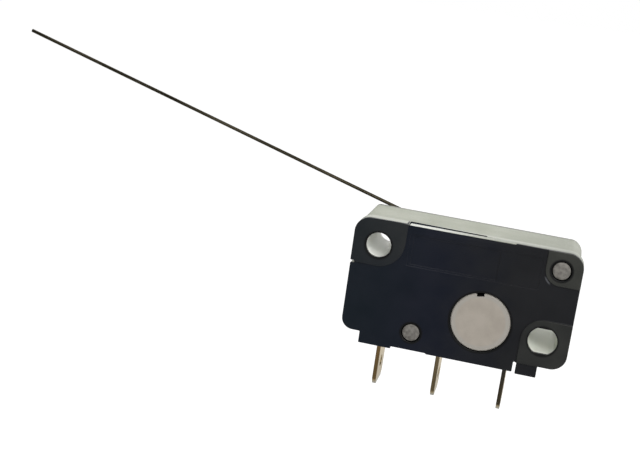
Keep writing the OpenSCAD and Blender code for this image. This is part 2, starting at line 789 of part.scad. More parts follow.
module open_terminal() {
    terminal(shelf_z + tab_t) translate([middle_x, tip_z])
        turned_strip(shelf_z - tip_z, contact_x + leaf_end - middle_x);
}

module closed_terminal() {
    terminal(closed_arm_z + tab_t) translate([right_x, tip_z]) mirror([1, 0])
        turned_strip(closed_arm_z - tip_z, right_x - contact_x + leaf_end);
}

// A contact is a ridge with a flat foot at the origin, along X, pointing up
module ridge() {
    rotate([90, 0, 90]) linear_extrude(height = contact_l, center = true)
        polygon([[-contact_w / 2, 0], [contact_w / 2, 0], [0, contact_h]]);
}

module closed_contact() {
    color(gold) in_frame() translate([contact_x, mid_y, closed_contact_z]) mirror([0, 0, 1]) ridge();
}

module open_contact() {
    color(gold) in_frame() translate([contact_x, mid_y, open_contact_z]) ridge();
}

module upper_moving_contact() {
    color(gold) in_frame() translate([contact_x, mid_y, blade_z + blade_t / 2]) rotate(90) ridge();
}

module lower_moving_contact() {
    color(gold) in_frame() translate([contact_x, mid_y, blade_z - blade_t / 2])
        mirror([0, 0, 1]) rotate(90) ridge();
}

// The moving blade: two tines with rolled pivot edges, a window for the spring, a narrow tip
module contact_blade() {
    window_end = anchor_x - bridge_w;
    taper_start = anchor_x + bridge_w;
    taper_end = contact_x - blade_end;
    half = leaf_w / 2;
    tip_half = blade_tip_w / 2;
    color(copper) in_frame() {
        translate([0, mid_y, blade_z - blade_t / 2]) linear_extrude(height = blade_t) difference() {
            polygon([[pivot_x, -half], [taper_start, -half], [taper_end, -tip_half],
                [contact_x + blade_end, -tip_half], [contact_x + blade_end, tip_half],
                [taper_end, tip_half], [taper_start, half], [pivot_x, half]]);
            translate([pivot_x - past, -tine_gap / 2]) square([window_end - pivot_x + past, tine_gap]);
            translate([anchor_x, 0]) circle(spring_wire_d / 2 + anchor_gap);
        }
        for (side = [-1, 1]) {
            middle = mid_y + side * (leaf_w - tine_w) / 2;
            rod([pivot_x, blade_z], pivot_r, middle - tine_w / 2, middle + tine_w / 2);
        }
    }
}

// The spring's path: round the pin, along the coil, down through the blade's hole
hook_points = [for (a = [hook_end : -hook_step : 90]) [hook_r * cos(a), 0, hook_r * sin(a)]];
coil_points = [for (i = [0 : spring_turns * coil_steps])
    let (a = 360 * i / coil_steps, share = i / (spring_turns * coil_steps))
    [hook_len + (coil_end - hook_len) * share, spring_r * sin(a), spring_r * cos(a)]];
leg_points = [[spring_l, 0, spring_r], [spring_l, 0, 0], [spring_l, 0, -spring_r]];
spring_path = concat(hook_points, coil_points, leg_points);

// A tube along a path: each ring keeps the last ring's direction as nearly as the bend allows
function tangents(p) = [for (i = [0 : len(p) - 1]) unit(p[min(i + 1, len(p) - 1)] - p[max(i - 1, 0)])];
function carried(t, n, i = 0) = i == len(t) ? [] :
    let (m = unit(n - (n * t[i]) * t[i])) concat([m], carried(t, m, i + 1));
module tube(path, r, first_side) {
    along = tangents(path);
    side = carried(along, first_side);
    last = len(path) - 1;
    points = [for (i = [0 : last], k = [0 : wire_sides - 1])
        let (a = 360 * k / wire_sides)
        path[i] + r * (cos(a) * side[i] + sin(a) * cross(along[i], side[i]))];
    walls = [for (i = [0 : last - 1], k = [0 : wire_sides - 1])
        let (next = (k + 1) % wire_sides, row = i * wire_sides)
        [row + k, row + wire_sides + k, row + wire_sides + next, row + next]];
    first_end = [for (k = [0 : wire_sides - 1]) k];
    last_end = [for (k = [wire_sides - 1 : -1 : 0]) last * wire_sides + k];
    polyhedron(points, concat(walls, [first_end, last_end]));
}

module snap_spring() {
    color(steel) in_frame() translate([pin_at[0], mid_y, pin_at[1]]) rotate([0, -spring_angle, 0])
        tube(spring_path, spring_wire_d / 2, [0, 1, 0]);
}

base();
cover();
upper_rivet();
lower_rivet();
rotor();
wire_lever();
common_terminal();
open_terminal();
closed_terminal();
contact_blade();
upper_moving_contact();
lower_moving_contact();
closed_contact();
open_contact();
snap_spring();
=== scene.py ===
# %% [markdown]
# # A small rotary snap switch with a wire lever
# The real switch is a flat cream tray with a black cover riveted to its front. A round rotor shows in the
# cover, and a long spring wire comes from the rotor's hub behind the case. This lesson dresses the solid
# parts: it softens their edges, draws the wire and the rivets again, and gives every surface its finish.
# All sizes are real ones. X runs along the case, Y into it from the front, and Z up.

import json
import math

import bmesh
import bpy
from mathutils import Matrix, Vector
from mathutils.bvhtree import BVHTree
from mathutils.kdtree import KDTree


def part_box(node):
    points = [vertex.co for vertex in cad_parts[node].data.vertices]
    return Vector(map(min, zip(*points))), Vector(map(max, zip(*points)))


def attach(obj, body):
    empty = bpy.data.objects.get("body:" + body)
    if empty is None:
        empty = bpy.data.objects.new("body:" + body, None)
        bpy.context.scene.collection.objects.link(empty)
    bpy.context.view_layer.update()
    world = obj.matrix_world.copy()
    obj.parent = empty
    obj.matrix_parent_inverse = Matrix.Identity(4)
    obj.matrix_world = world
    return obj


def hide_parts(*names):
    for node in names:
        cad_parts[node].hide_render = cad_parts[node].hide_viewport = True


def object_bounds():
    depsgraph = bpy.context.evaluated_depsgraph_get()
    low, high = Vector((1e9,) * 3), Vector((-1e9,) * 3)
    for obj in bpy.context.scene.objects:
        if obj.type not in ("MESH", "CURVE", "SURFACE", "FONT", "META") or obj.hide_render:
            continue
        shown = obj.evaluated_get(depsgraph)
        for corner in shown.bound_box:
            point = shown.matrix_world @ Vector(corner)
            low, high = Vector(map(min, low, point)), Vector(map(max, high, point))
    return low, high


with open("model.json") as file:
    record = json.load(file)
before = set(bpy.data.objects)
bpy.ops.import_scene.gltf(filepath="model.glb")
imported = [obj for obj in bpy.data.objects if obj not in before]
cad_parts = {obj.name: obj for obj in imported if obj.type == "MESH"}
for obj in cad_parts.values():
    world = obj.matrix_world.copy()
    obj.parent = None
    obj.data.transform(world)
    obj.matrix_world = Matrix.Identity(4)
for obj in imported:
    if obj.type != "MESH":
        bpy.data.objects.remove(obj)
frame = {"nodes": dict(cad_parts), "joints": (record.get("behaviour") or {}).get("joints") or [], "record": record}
cad_low, cad_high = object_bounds()
nodes = frame["nodes"]
mm = 0.001


def in_mm(place, digits=2):
    """A place or a size in millimetres, rounded for printing."""
    return [round(x / mm, digits) for x in place]


print("solid parts:", len(nodes), "size in mm:", in_mm(cad_high - cad_low))

# %% [markdown]
# ## Places that several steps share
# The mounting holes, the rivets and the rotor go through the whole switch, so finishes and shapes both
# need to know where they are. The places could be typed in, but a finish has to meet its solid part when
# that part changes, so they are read from the frame.

# %% Holes, rivets and rotor
mount_at = {mount["name"]: Vector(mount["pos_m"]) for mount in frame["record"]["mounts"]}
upper_hole = mount_at["upper_mounting_hole"]
lower_hole = mount_at["lower_mounting_hole"]
rotor_at = Vector(frame["joints"][0]["pos_m"])
rivet_names = ("upper_rivet", "lower_rivet")
rivets_at = [sum(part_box(node), Vector()) / 2 for node in rivet_names]
print("rivets at", [in_mm(place) for place in rivets_at], "rotor at", in_mm(rotor_at))

# %% [markdown]
# ## Soft edges
# Moulded plastic and stamped strip never have knife edges: a tool leaves a radius of a few hundredths of
# a millimetre, and that radius is what catches the light. It could be drawn into every solid part, but a
# bevel along the sharp edges of a copy can be changed in one place. A bevel needs whole faces, and a
# solid part arrives as loose triangles, so the copy is merged first and its flat triangles are dissolved
# into single faces. Each sharp edge then gets a bevel weight, which is smaller beside a narrow face, so
# that the bevels on the two sides of a shallow step don't run into each other.

# %% A merged copy with weights on its sharp edges
merge_gap = 0.0005 * mm
flat_angle = math.radians(0.4)
sharp_angle = math.radians(28)
narrow_share = 0.4


def merged_copy(node, reshape):
    """A solid part's mesh with its triangles merged, and reshaped where the piece asks for it."""
    bm = bmesh.new()
    bm.from_mesh(nodes[node].data)
    bmesh.ops.remove_doubles(bm, verts=bm.verts, dist=merge_gap)
    if reshape:
        reshape(bm)
    return bm


def edge_room(edge):
    """How wide the narrower face beside an edge is."""
    length = edge.calc_length()
    return min(face.calc_area() / length for face in edge.link_faces)


def weigh_edges(bm, radius):
    """Dissolves flat triangles, gives each sharp edge its bevel weight and returns their number."""
    bmesh.ops.dissolve_limit(
        bm, angle_limit=flat_angle, verts=bm.verts, edges=bm.edges, delimit={"SEAM"})
    weight = bm.edges.layers.float.new("bevel_weight_edge")
    sharp = [e for e in bm.edges if len(e.link_faces) == 2 and e.calc_face_angle() > sharp_angle]
    for edge in sharp:
        edge[weight] = min(1.0, narrow_share * edge_room(edge) / radius)
    return len(sharp)


def put_down(bm, name):
    """Turns a bmesh into an object of the scene, with smooth faces."""
    for face in bm.faces:
        face.smooth = True
    mesh = bpy.data.meshes.new(name)
    bm.to_mesh(mesh)
    bm.free()
    piece = bpy.data.objects.new(name, mesh)
    bpy.context.scene.collection.objects.link(piece)
    return piece


# %% [markdown]
# ### Bevels that stay on their faces
# Where a bevel runs past the end of its face, a point stands off the solid part and shows as a small
# spike. Blender can clamp such overlaps, but then one bad corner makes every bevel of the piece smaller.
# Here the bevelled copy is measured against the solid part instead, and only the edges at a stray point
# go back to sharp. The bevel stays a live modifier, and a second one keeps the normals of large flat
# faces straight.

# %% The bevel
bevel_segments = 2


def add_bevel(piece, radius):
    """Adds the bevel along the weighted edges, and the normals that go with it."""
    bevel = piece.modifiers.new("soft edges", "BEVEL")
    bevel.limit_method = "WEIGHT"
    bevel.width = radius
    bevel.segments = bevel_segments
    bevel.profile = 0.5
    bevel.use_clamp_overlap = False
    bevel.loop_slide = False
    bevel.material = -1
    normals = piece.modifiers.new("flat faces stay flat", "WEIGHTED_NORMAL")
    normals.weight = 100
    normals.keep_sharp = True


# %% Points that stray, and their cure
stray_share = 0.4
stray_gap = 0.01 * mm


def strays(piece, solid, radius):
    """The points of a bevelled piece that stand further off the solid than its bevel does."""
    finished = piece.evaluated_get(bpy.context.evaluated_depsgraph_get())
    mesh = finished.to_mesh()
    mesh.calc_loop_triangles()
    points = [vert.co.copy() for vert in mesh.vertices]
    for triangle in mesh.loop_triangles:
        a, b, c = (points[i] for i in triangle.vertices)
        points.append((a + b + c) / 3)
    finished.to_mesh_clear()
    limit = stray_share * radius + stray_gap
    return [point for point in points if solid.find_nearest(point)[3] > limit]


def keep_sharp(mesh, points):
    """Takes the bevel off every edge at the corner that is nearest to each point."""
    weights = mesh.attributes["bevel_weight_edge"].data
    corners = {i for edge in mesh.edges if weights[edge.index].value > 0 for i in edge.vertices}
    finder = KDTree(len(corners))
    for i in corners:
        finder.insert(mesh.vertices[i].co, i)
    finder.balance()
    blunt = {finder.find(point)[1] for point in points}
    for edge in mesh.edges:
        if weights[edge.index].value > 0 and blunt.intersection(edge.vertices):
            weights[edge.index].value = 0.0
            edge.use_edge_sharp = True


# %% A softened copy of a solid part
mending_rounds = 6


def softened(node, radius, reshape=None):
    """A new object with the node's shape and a soft bevel along its sharp edges."""
    bm = merged_copy(node, reshape)
    solid = BVHTree.FromBMesh(bm)
    sharp_count = weigh_edges(bm, radius)
    piece = put_down(bm, node + "_finished")
    add_bevel(piece, radius)
    points = strays(piece, solid, radius)
    rounds = 0
    while points and rounds < mending_rounds:
        keep_sharp(piece.data, points)
        points = strays(piece, solid, radius)
        rounds += 1
    print(piece.name, "sharp edges:", sharp_count, "mending rounds:", rounds, "strays left:", len(points))
    return piece


# %% [markdown]
# ## Finishes
# Each finish is one node material, whose colour, gloss and relief vary over the surface as they do on
# real plastic and metal. Photographs wrapped round the pieces would also do, but noise needs no
# unwrapping and no files. The noise is read in Object coordinates, so it stays on the piece when a joint
# turns it, and its scale is the real size of a grain or a streak. Pieces of one stuff share a slot, so
# the finishes are kept in a table under the names of the slots.

# %% A new material
def colour(red, green, blue):
    """A colour as seen on a screen, 0 to 255, as the linear values that a shader takes."""
    linear = []
    for value in (red, green, blue):
        share = value / 255
        linear.append(share / 12.92 if share <= 0.04045 else ((share + 0.055) / 1.055) ** 2.4)
    return (*linear, 1.0)


def finish_of(name, metallic=0.0):
    """A new material, its node tree and its main shader."""
    material = bpy.data.materials.new(name)
    material.use_nodes = True
    shader = material.node_tree.nodes["Principled BSDF"]
    shader.inputs["Metallic"].default_value = metallic
    return material, material.node_tree, shader


finishes = {}


def store_finish(slot, material):
    """Keeps a finish under the name of its slot."""
    finishes[slot] = material
    print(slot, "is", material.name, "with", len(material.node_tree.nodes), "nodes")


# %% Noise
grain_detail = 4.0


def grain(tree, size, stretch=(1, 1, 1), turn=0.0):
    """A noise whose blotches are about size across, drawn out by stretch after a turn about Y."""
    place = tree.nodes.new("ShaderNodeTexCoord")
    mapping = tree.nodes.new("ShaderNodeMapping")
    noise = tree.nodes.new("ShaderNodeTexNoise")
    mapping.vector_type = "TEXTURE"
    mapping.inputs["Rotation"].default_value = (0, turn, 0)
    mapping.inputs["Scale"].default_value = stretch
    noise.inputs["Scale"].default_value = 1 / size
    noise.inputs["Detail"].default_value = grain_detail
    tree.links.new(place.outputs["Object"], mapping.inputs["Vector"])
    tree.links.new(mapping.outputs["Vector"], noise.inputs["Vector"])
    return noise.outputs["Fac"]


# %% Numbers, colours and relief from a noise
noise_low, noise_high = 0.35, 0.65


def spread(tree, value, low, high, start=noise_low, end=noise_high):
    """Maps a noise, or another value, to a range of numbers."""
    ranged = tree.nodes.new("ShaderNodeMapRange")
    ranged.inputs["From Min"].default_value = start
    ranged.inputs["From Max"].default_value = end
    ranged.inputs["To Min"].default_value = low
    ranged.inputs["To Max"].default_value = high
    tree.links.new(value, ranged.inputs["Value"])
    return ranged.outputs["Result"]


def blend(tree, value, first, last, start=noise_low, end=noise_high, middle=None):
    """Colours that run from first to last as a value rises, past a middle one if its place is given."""
    ramp = tree.nodes.new("ShaderNodeValToRGB")
    elements = ramp.color_ramp.elements
    elements[0].position = start
    elements[0].color = first
    elements[1].position = end
    elements[1].color = last
    if middle:
        place, tone = middle
        elements.new(place).color = tone
    tree.links.new(value, ramp.inputs["Fac"])
    return ramp.outputs["Color"]


def surfaced(tree, shader, tone, roughness, skin, height, strength):
    """Gives the shader its colour and roughness, and a relief of the given height from a noise."""
    bump = tree.nodes.new("ShaderNodeBump")
    bump.inputs["Strength"].default_value = strength
    bump.inputs["Distance"].default_value = height
    tree.links.new(skin, bump.inputs["Height"])
    tree.links.new(bump.outputs["Normal"], shader.inputs["Normal"])
    tree.links.new(tone, shader.inputs["Base Color"])
    tree.links.new(roughness, shader.inputs["Roughness"])


# %% [markdown]
# ### Masks
# Some looks belong to one place on the piece: a rim, a bore, an edge. They could be painted on by hand,
# but a mask that is worked out from the coordinates keeps to real sizes. A place mask reads one Object
# coordinate, a ring mask the distance from an axis that runs into the case, and an edge mask compares the
# surface's own direction with one that is averaged over a small radius: they differ only near an edge.
# Every mask changes over a span, which is given as the two places where the change starts and ends.

# %% Places and rings
def span(start, end):
    """The two places, in millimetres, between which a mask changes."""
    return start * mm, end * mm


def along(tree, axis):
    """The place on the piece along X, Y or Z."""
    place = tree.nodes.new("ShaderNodeTexCoord")
    axes = tree.nodes.new("ShaderNodeSeparateXYZ")
    tree.links.new(place.outputs["Object"], axes.inputs["Vector"])
    return axes.outputs[axis]


def off_axis(tree, centre):
    """The distance from an axis along Y through the given place."""
    place = tree.nodes.new("ShaderNodeTexCoord")
    flat = tree.nodes.new("ShaderNodeVectorMath")
    flat.operation = "MULTIPLY_ADD"
    flat.inputs[1].default_value = (1, 0, 1)
    flat.inputs[2].default_value = (-centre.x, 0, -centre.z)
    tree.links.new(place.outputs["Object"], flat.inputs[0])
    length = tree.nodes.new("ShaderNodeVectorMath")
    length.operation = "LENGTH"
    tree.links.new(flat.outputs["Vector"], length.inputs[0])
    return length.outputs["Value"]


# %% Edges
edge_samples = 6
flat_likeness, edge_likeness = 0.99, 0.8


def near_edge(tree, radius):
    """One at an edge of the piece, falling to zero a radius away from it."""
    rounded = tree.nodes.new("ShaderNodeBevel")
    rounded.samples = edge_samples
    rounded.inputs["Radius"].default_value = radius
    surface = tree.nodes.new("ShaderNodeNewGeometry")
    likeness = tree.nodes.new("ShaderNodeVectorMath")
    likeness.operation = "DOT_PRODUCT"
    tree.links.new(rounded.outputs["Normal"], likeness.inputs[0])
    tree.links.new(surface.outputs["Normal"], likeness.inputs[1])
    return spread(tree, likeness.outputs["Value"], 0.0, 1.0, flat_likeness, edge_likeness)


# %% Put masks together and paint with them
def rising(tree, value, change, top=1.0):
    """Zero before the span where a value changes, and top after it."""
    return spread(tree, value, 0.0, top, *change)


def falling(tree, value, change, top=1.0):
    """Top before the span where a value changes, and zero after it."""
    return spread(tree, value, top, 0.0, *change)


def joined(tree, operation, first, second):
    """Two masks, or a mask and a number, put together by a sum such as ADD or MAXIMUM."""
    both = tree.nodes.new("ShaderNodeMath")
    both.operation = operation
    tree.links.new(first, both.inputs[0])
    if isinstance(second, float):
        both.inputs[1].default_value = second
    else:
        tree.links.new(second, both.inputs[1])
    return both.outputs["Value"]


def overlap(tree, mask, *others):
    """Where all of the masks meet."""
    for other in others:
        mask = joined(tree, "MULTIPLY", mask, other)
    return mask


def painted(tree, mask, under, over):
    """Lays a colour over another one where a mask is one."""
    coat = tree.nodes.new("ShaderNodeMix")
    coat.data_type = "RGBA"
    tree.links.new(mask, coat.inputs["Factor"])
    tree.links.new(under, coat.inputs["A"])
    if isinstance(over, tuple):
        coat.inputs["B"].default_value = over
    else:
        tree.links.new(over, coat.inputs["B"])
    return coat.outputs["Result"]


# %% [markdown]
# ### Black cover
# The cover is a glass-filled moulding: nearly black, bluish at the left and more neutral at the right,
# half glossy, and with a skin that is a little uneven. One flat black would look like paper, so a slow
# noise drifts the colour and the gloss, and a fine one gives the skin its relief. The raised corners and
# their edges are painted slightly paler: partly wear from handling, partly painted highlight, strongest
# high up and at the right where the light falls. The rims of the openings get painted shade as dark
# rings, and a short glint, a painted highlight, lies on the step below the upper rivet. The tongue
# behind the lip is rough, so that it stays dark from above.

# %% The cover's plain skin
black_tones = {
    "left": colour(9, 20, 28),
    "middle": colour(13, 18, 31),
    "right": colour(22, 23, 26),
    "rubbed_and_lit": colour(56, 57, 53),
    "worn edge": colour(60, 62, 66),
    "glint": colour(84, 86, 90),
    "rim_shade": colour(3, 4, 5),
}
drift_share = 0.4
tint_left, tint_middle, tint_right = 0.15, 0.6, 1.0


def black_skin(tree, drift, side):
    """A bluish black at the left and a neutral one at the right, drifting a little."""
    tint = joined(tree, "ADD", joined(tree, "MULTIPLY", drift, drift_share), side)
    return blend(tree, tint, black_tones["left"], black_tones["right"], tint_left, tint_right,
                 middle=(tint_middle, black_tones["middle"]))


# %% Rubbed and lit corners, worn and highlit edges
raised_front = span(0.1, 0.16)
upper_corners = span(-4, 0)
rubbed_and_lit_share, rubbed_and_lit_left = (0.35, 0.55), 0.25
worn_and_highlit_share, worn_and_highlit_w = (0.0, 0.5), 0.12 * mm


def handled_and_lit(tree, skin, drift, side):
    """Paler edges and raised corners, partly wear and partly painted highlight; the corners are palest high up and
    at the right, where the light falls.
    """
    # Painted highlight mixed with rubbed wear: the raised corners are painted paler towards the right and high up.
    lit_more_right = spread(tree, side, rubbed_and_lit_left, 1.0, 0.0, 1.0)
    raised = overlap(tree, falling(tree, along(tree, "Y"), raised_front), lit_more_right)
    lit_high_up = rising(tree, along(tree, "Z"), upper_corners, top=0.5)
    rubbed_and_lit = joined(tree, "ADD", spread(tree, drift, *rubbed_and_lit_share), lit_high_up)
    skin = painted(tree, overlap(tree, raised, rubbed_and_lit), skin, black_tones["rubbed_and_lit"])
    # Wear mixed with a painted highlight: a paler line along every edge of the cover.
    worn_and_highlit = overlap(tree, near_edge(tree, worn_and_highlit_w), spread(tree, drift, *worn_and_highlit_share))
    return painted(tree, worn_and_highlit, skin, black_tones["worn edge"])


# %% A glint below the upper rivet
glint_drop = 0.2 * mm
glint_at = rivets_at[0] - Vector((0, 0, glint_drop))
glint_in, glint_out = span(1.8, 1.9), span(2.0, 2.1)
glint_right, glint_top = span(20.8, 21.1), span(-0.3, 0)


def glint(tree):
    """A short arc on the step below the upper rivet, at its lower left."""
    away = off_axis(tree, glint_at)
    ring = overlap(tree, rising(tree, away, glint_in), falling(tree, away, glint_out))
    left = falling(tree, along(tree, "X"), glint_right)
    return overlap(tree, ring, left, falling(tree, along(tree, "Z"), glint_top))


# %% Painted shade round the openings
openings = [(place, 1.18 * mm) for place in rivets_at]
openings += [(upper_hole, 1.55 * mm), (lower_hole, 1.7 * mm), (rotor_at, 3.7 * mm)]
rim_w = 0.34 * mm
rim_full = 0.4 * rim_w


def shaded_rims(tree, skin):
    """Painted shade: dark rims round the rivets, the holes and the rotor."""
    for centre, radius in openings:
        # Painted shade: a dark ring round each opening, where its shadow gap lies.
        rim = falling(tree, off_axis(tree, centre), (radius + rim_full, radius + rim_w))
        skin = painted(tree, rim, skin, black_tones["rim_shade"])
    return skin


# %% Black plastic
drift_size, skin_size = 3.5 * mm, 0.16 * mm
cover_side = span(-3, 22)
tongue_from = span(1.15, 1.25)
black_roughness = (0.34, 0.5)
black_shine = 0.2


def black_plastic():
    """The cover's material."""
    material, tree, shader = finish_of("black moulded plastic")
    drift = grain(tree, drift_size)
    side = rising(tree, along(tree, "X"), cover_side)
    skin = handled_and_lit(tree, black_skin(tree, drift, side), drift, side)
    skin = painted(tree, glint(tree), skin, black_tones["glint"])
    skin = shaded_rims(tree, skin)
    tongue = rising(tree, along(tree, "Y"), tongue_from)
    roughness = joined(tree, "MAXIMUM", spread(tree, drift, *black_roughness), tongue)
    surfaced(tree, shader, skin, roughness, grain(tree, skin_size), height=0.012 * mm, strength=0.35)
    shader.inputs["Specular IOR Level"].default_value = black_shine
    return material


store_finish("black_plastic", black_plastic())

# %% [markdown]
# ### Cream base
# The tray is a pale moulding that leans to green. Its colour clouds over a few millimetres, and close up
# it has a fine grain from the filler. The walls of the bores are painted nearly white, as painted light
# that stands in for the light reaching into the holes. The left of the lip at the front is painted nearly
# white too, and the flange behind the lip pale: both are painted highlights. The right end and the top's
# back edge are painted darker, and the narrow gaps beside the lip and round the rivets dark: all painted
# shade. A material for each of these places would leave hard borders, so one material holds them all,
# each with its own mask.

# %% The flange and the lip
cream_tones = {
    "dark": colour(169, 173, 155),
    "light": colour(184, 187, 171),
    "flange": colour(206, 208, 198),
    "lip": colour(236, 238, 230),
    "dull lip": colour(172, 175, 163),
    "right end": colour(144, 146, 135),
    "gap": colour(26, 28, 30),
    "back edge": colour(112, 114, 108),
    "behind rivets": colour(12, 13, 13),
}
flange_end = span(2.1, 2.3)
lip_back = span(1.1, 1.25)
lip_left, lip_fade = span(3.3, 3.5), span(6.5, 12.5)
dull_from = span(8, 14)


def cream_front_highlights(tree, skin, on_top):
    """Painted highlights: a pale flange, and a lip that is nearly white at the left and dull at the right."""
    across, deep = along(tree, "X"), along(tree, "Y")
    # Painted highlight: the flange is painted paler.
    skin = painted(tree, falling(tree, deep, flange_end, top=0.7), skin, cream_tones["flange"])
    on_lip = overlap(tree, falling(tree, deep, lip_back), on_top)
    # Painted highlight on the lip, nearly white at the left and fading towards the right.
    white = overlap(tree, rising(tree, across, lip_left), falling(tree, across, lip_fade))
    skin = painted(tree, overlap(tree, white, on_lip), skin, cream_tones["lip"])
    # Where the lip's painted highlight has faded, the lip is painted a dull tone.
    dull = overlap(tree, rising(tree, across, dull_from, top=0.8), on_lip)
    return painted(tree, dull, skin, cream_tones["dull lip"])


# %% Painted shade on the base
right_end = span(13, 25)
gap_left, gap_right, gap_back = span(2.95, 3.05), span(3.18, 3.24), span(1.9, 2.0)
back_edge = span(9.3, 9.8)
back_shade_share = (0.6, 1.0)


def cream_painted_shade(tree, skin, cloud, on_top):
    """Painted shade: a darker right end and back edge, and a dark gap beside the lip."""
    across, deep = along(tree, "X"), along(tree, "Y")
    # Painted shade: the right end is painted darker.
    skin = painted(tree, rising(tree, across, right_end, top=0.6), skin, cream_tones["right end"])
    # Painted shade in the gap beside the lip's left end.
    gap = overlap(tree, rising(tree, across, gap_left), falling(tree, across, gap_right))
    gap = overlap(tree, gap, falling(tree, deep, gap_back), on_top)
    skin = painted(tree, gap, skin, cream_tones["gap"])
    # Painted shade along the top's back edge.
    shaded_back_edge = overlap(tree, rising(tree, deep, back_edge), spread(tree, cloud, *back_shade_share), on_top)
    return painted(tree, shaded_back_edge, skin, cream_tones["back edge"])


# %% Bores and rivet tubes
lit_bores = [
    (upper_hole, 1.57 * mm, colour(251, 252, 246)),
    (lower_hole, 1.79 * mm, colour(238, 240, 230)),
]
bore_edge = 0.03 * mm
rivet_tube, tube_back = span(1.4, 1.45), span(8, 9)


def cream_tube_shade_and_bore_light(tree, skin):
    """Painted shade in the tubes round the rivets, and painted light on the walls of the mounting holes."""
    in_front = falling(tree, along(tree, "Y"), tube_back)
    for centre in rivets_at:
        # Painted shade: the base round each rivet tube is painted dark.
        behind = overlap(tree, falling(tree, off_axis(tree, centre), rivet_tube), in_front)
        skin = painted(tree, behind, skin, cream_tones["behind rivets"])
    for centre, radius, lit_wall in lit_bores:
        # Painted light: the walls of the mounting holes are painted nearly white, standing in for light that
        # reaches into them.
        inside = falling(tree, off_axis(tree, centre), (radius, radius + bore_edge))
        skin = painted(tree, inside, skin, lit_wall)
    return skin


# %% Cream plastic
cloud_size, speck_size = 4 * mm, 0.25 * mm
top_side = span(2.6, 2.85)
cream_roughness = (0.42, 0.6)
cream_shine = 0.35


def cream_plastic():
    """The base's material."""
    material, tree, shader = finish_of("cream moulded plastic")
    cloud = grain(tree, cloud_size)
    on_top = rising(tree, along(tree, "Z"), top_side)
    skin = blend(tree, cloud, cream_tones["dark"], cream_tones["light"])
    skin = cream_front_highlights(tree, skin, on_top)
    skin = cream_painted_shade(tree, skin, cloud, on_top)
    skin = cream_tube_shade_and_bore_light(tree, skin)
    speck = grain(tree, speck_size)
    roughness = spread(tree, speck, *cream_roughness)
    surfaced(tree, shader, skin, roughness, speck, height=0.015 * mm, strength=0.3)
    shader.inputs["Specular IOR Level"].default_value = cream_shine
    return material


store_finish("cream_plastic", cream_plastic())

# %% [markdown]
# ### Beige rotor
# The rotor is a bearing plastic, warmer and a little waxy. Its dish is faintly pink, the rim that rubs in
# the cover is greyer, and the walls of the notch in the rim are painted dark, as painted shade. The notch
# points the same way as the hub's slot for the wire, so its place follows from the slot's direction. A
# slow noise clouds the colour a little, as a plain one would look painted.

# %% Beige plastic
beige_tones = {
    "dark": colour(164, 156, 145),
    "light": colour(174, 166, 155),
    "rim": colour(168, 164, 156),
    "notch": colour(24, 23, 22),
}
wax_size, wax_skin_size = 1.6 * mm, 0.3 * mm
beige_roughness = (0.36, 0.5)
dish_r = 3.15 * mm
dish_edge = 0.2 * mm
notch_reach = 3.45 * mm
notch_wall, notch_front = span(0.55, 0.6), span(0.36, 0.42)
slot_turn = math.radians(98.4)


def in_plane(angle):
    """A direction in the lever's plane, from +X towards +Z."""
    return Vector((math.cos(angle), 0, math.sin(angle)))


def beige_plastic():
    """The rotor's material."""
    material, tree, shader = finish_of("beige bearing plastic")
    cloud = grain(tree, wax_size)
    tone = blend(tree, cloud, beige_tones["dark"], beige_tones["light"])
    rim = rising(tree, off_axis(tree, rotor_at), (dish_r - dish_edge, dish_r), top=0.9)
    tone = painted(tree, rim, tone, beige_tones["rim"])
    notch_at = rotor_at + in_plane(slot_turn) * notch_reach
    # Painted shade in the notch of the rim.
    notch = falling(tree, off_axis(tree, notch_at), notch_wall)
    notch = overlap(tree, notch, rising(tree, along(tree, "Y"), notch_front))
    tone = painted(tree, notch, tone, beige_tones["notch"])
    skin = grain(tree, wax_skin_size)
    roughness = spread(tree, skin, *beige_roughness)
    surfaced(tree, shader, tone, roughness, skin, height=0.01 * mm, strength=0.25)
    return material


store_finish("beige_plastic", beige_plastic())

# %% [markdown]
# ### Streaked metals
# The wire is drawn through a die, which leaves streaks along it, and the parts inside the case are rolled
# or coiled. Each of these metals could have a recipe of its own, but they differ only in their colours
# and in the size and direction of their streaks. So one recipe serves them all: a noise that can be
# stretched along the metal. The wire's streaks are turned to run along its long arm.

# %% Streaked metals
metal_roughness = (0.3, 0.5)


def worked_metal(name, dark, light, grain_size, stretch=(1, 1, 1), turn=0.0):
    """A metal with streaks or mottles from a dark to a light tone."""
    material, tree, shader = finish_of(name, metallic=1.0)
    streak = grain(tree, grain_size, stretch, turn)
    tone = blend(tree, streak, dark, light)
    roughness = spread(tree, streak, *metal_roughness)
    surfaced(tree, shader, tone, roughness, streak, height=0.01 * mm, strength=0.3)
    return material


# %% Wire, blade, contacts and spring
lever_rise = math.radians(16)
store_finish("lever_steel", worked_metal(
    "drawn spring steel", colour(38, 35, 27), colour(72, 67, 54),
    grain_size=0.2 * mm, stretch=(30, 1, 1), turn=lever_rise))
store_finish("blade_copper", worked_metal(
    "rolled copper alloy", colour(168, 112, 70), colour(214, 158, 108),
    grain_size=0.3 * mm, stretch=(10, 1, 1)))
store_finish("contact_gold", worked_metal(
    "gold alloy", colour(200, 160, 74), colour(230, 196, 110),
    grain_size=0.2 * mm, stretch=(1, 4, 1)))
store_finish("spring_steel", worked_metal(
    "coiled spring steel", colour(96, 96, 94), colour(140, 140, 136),
    grain_size=0.1 * mm))

# %% [markdown]
# ### Pressed rivets
# The rivet ends are pressed flat by a rough punch, so they are dull and mottled, and their rims are
# painted dark, as painted shade from the cover's bore. The streaked recipe has no rim, and a second
# material for the rim would leave a hard border, so the rivets get a recipe of their own with a ring
# mask. One material serves both rivets: a point counts as rim by its distance from the nearer axis.

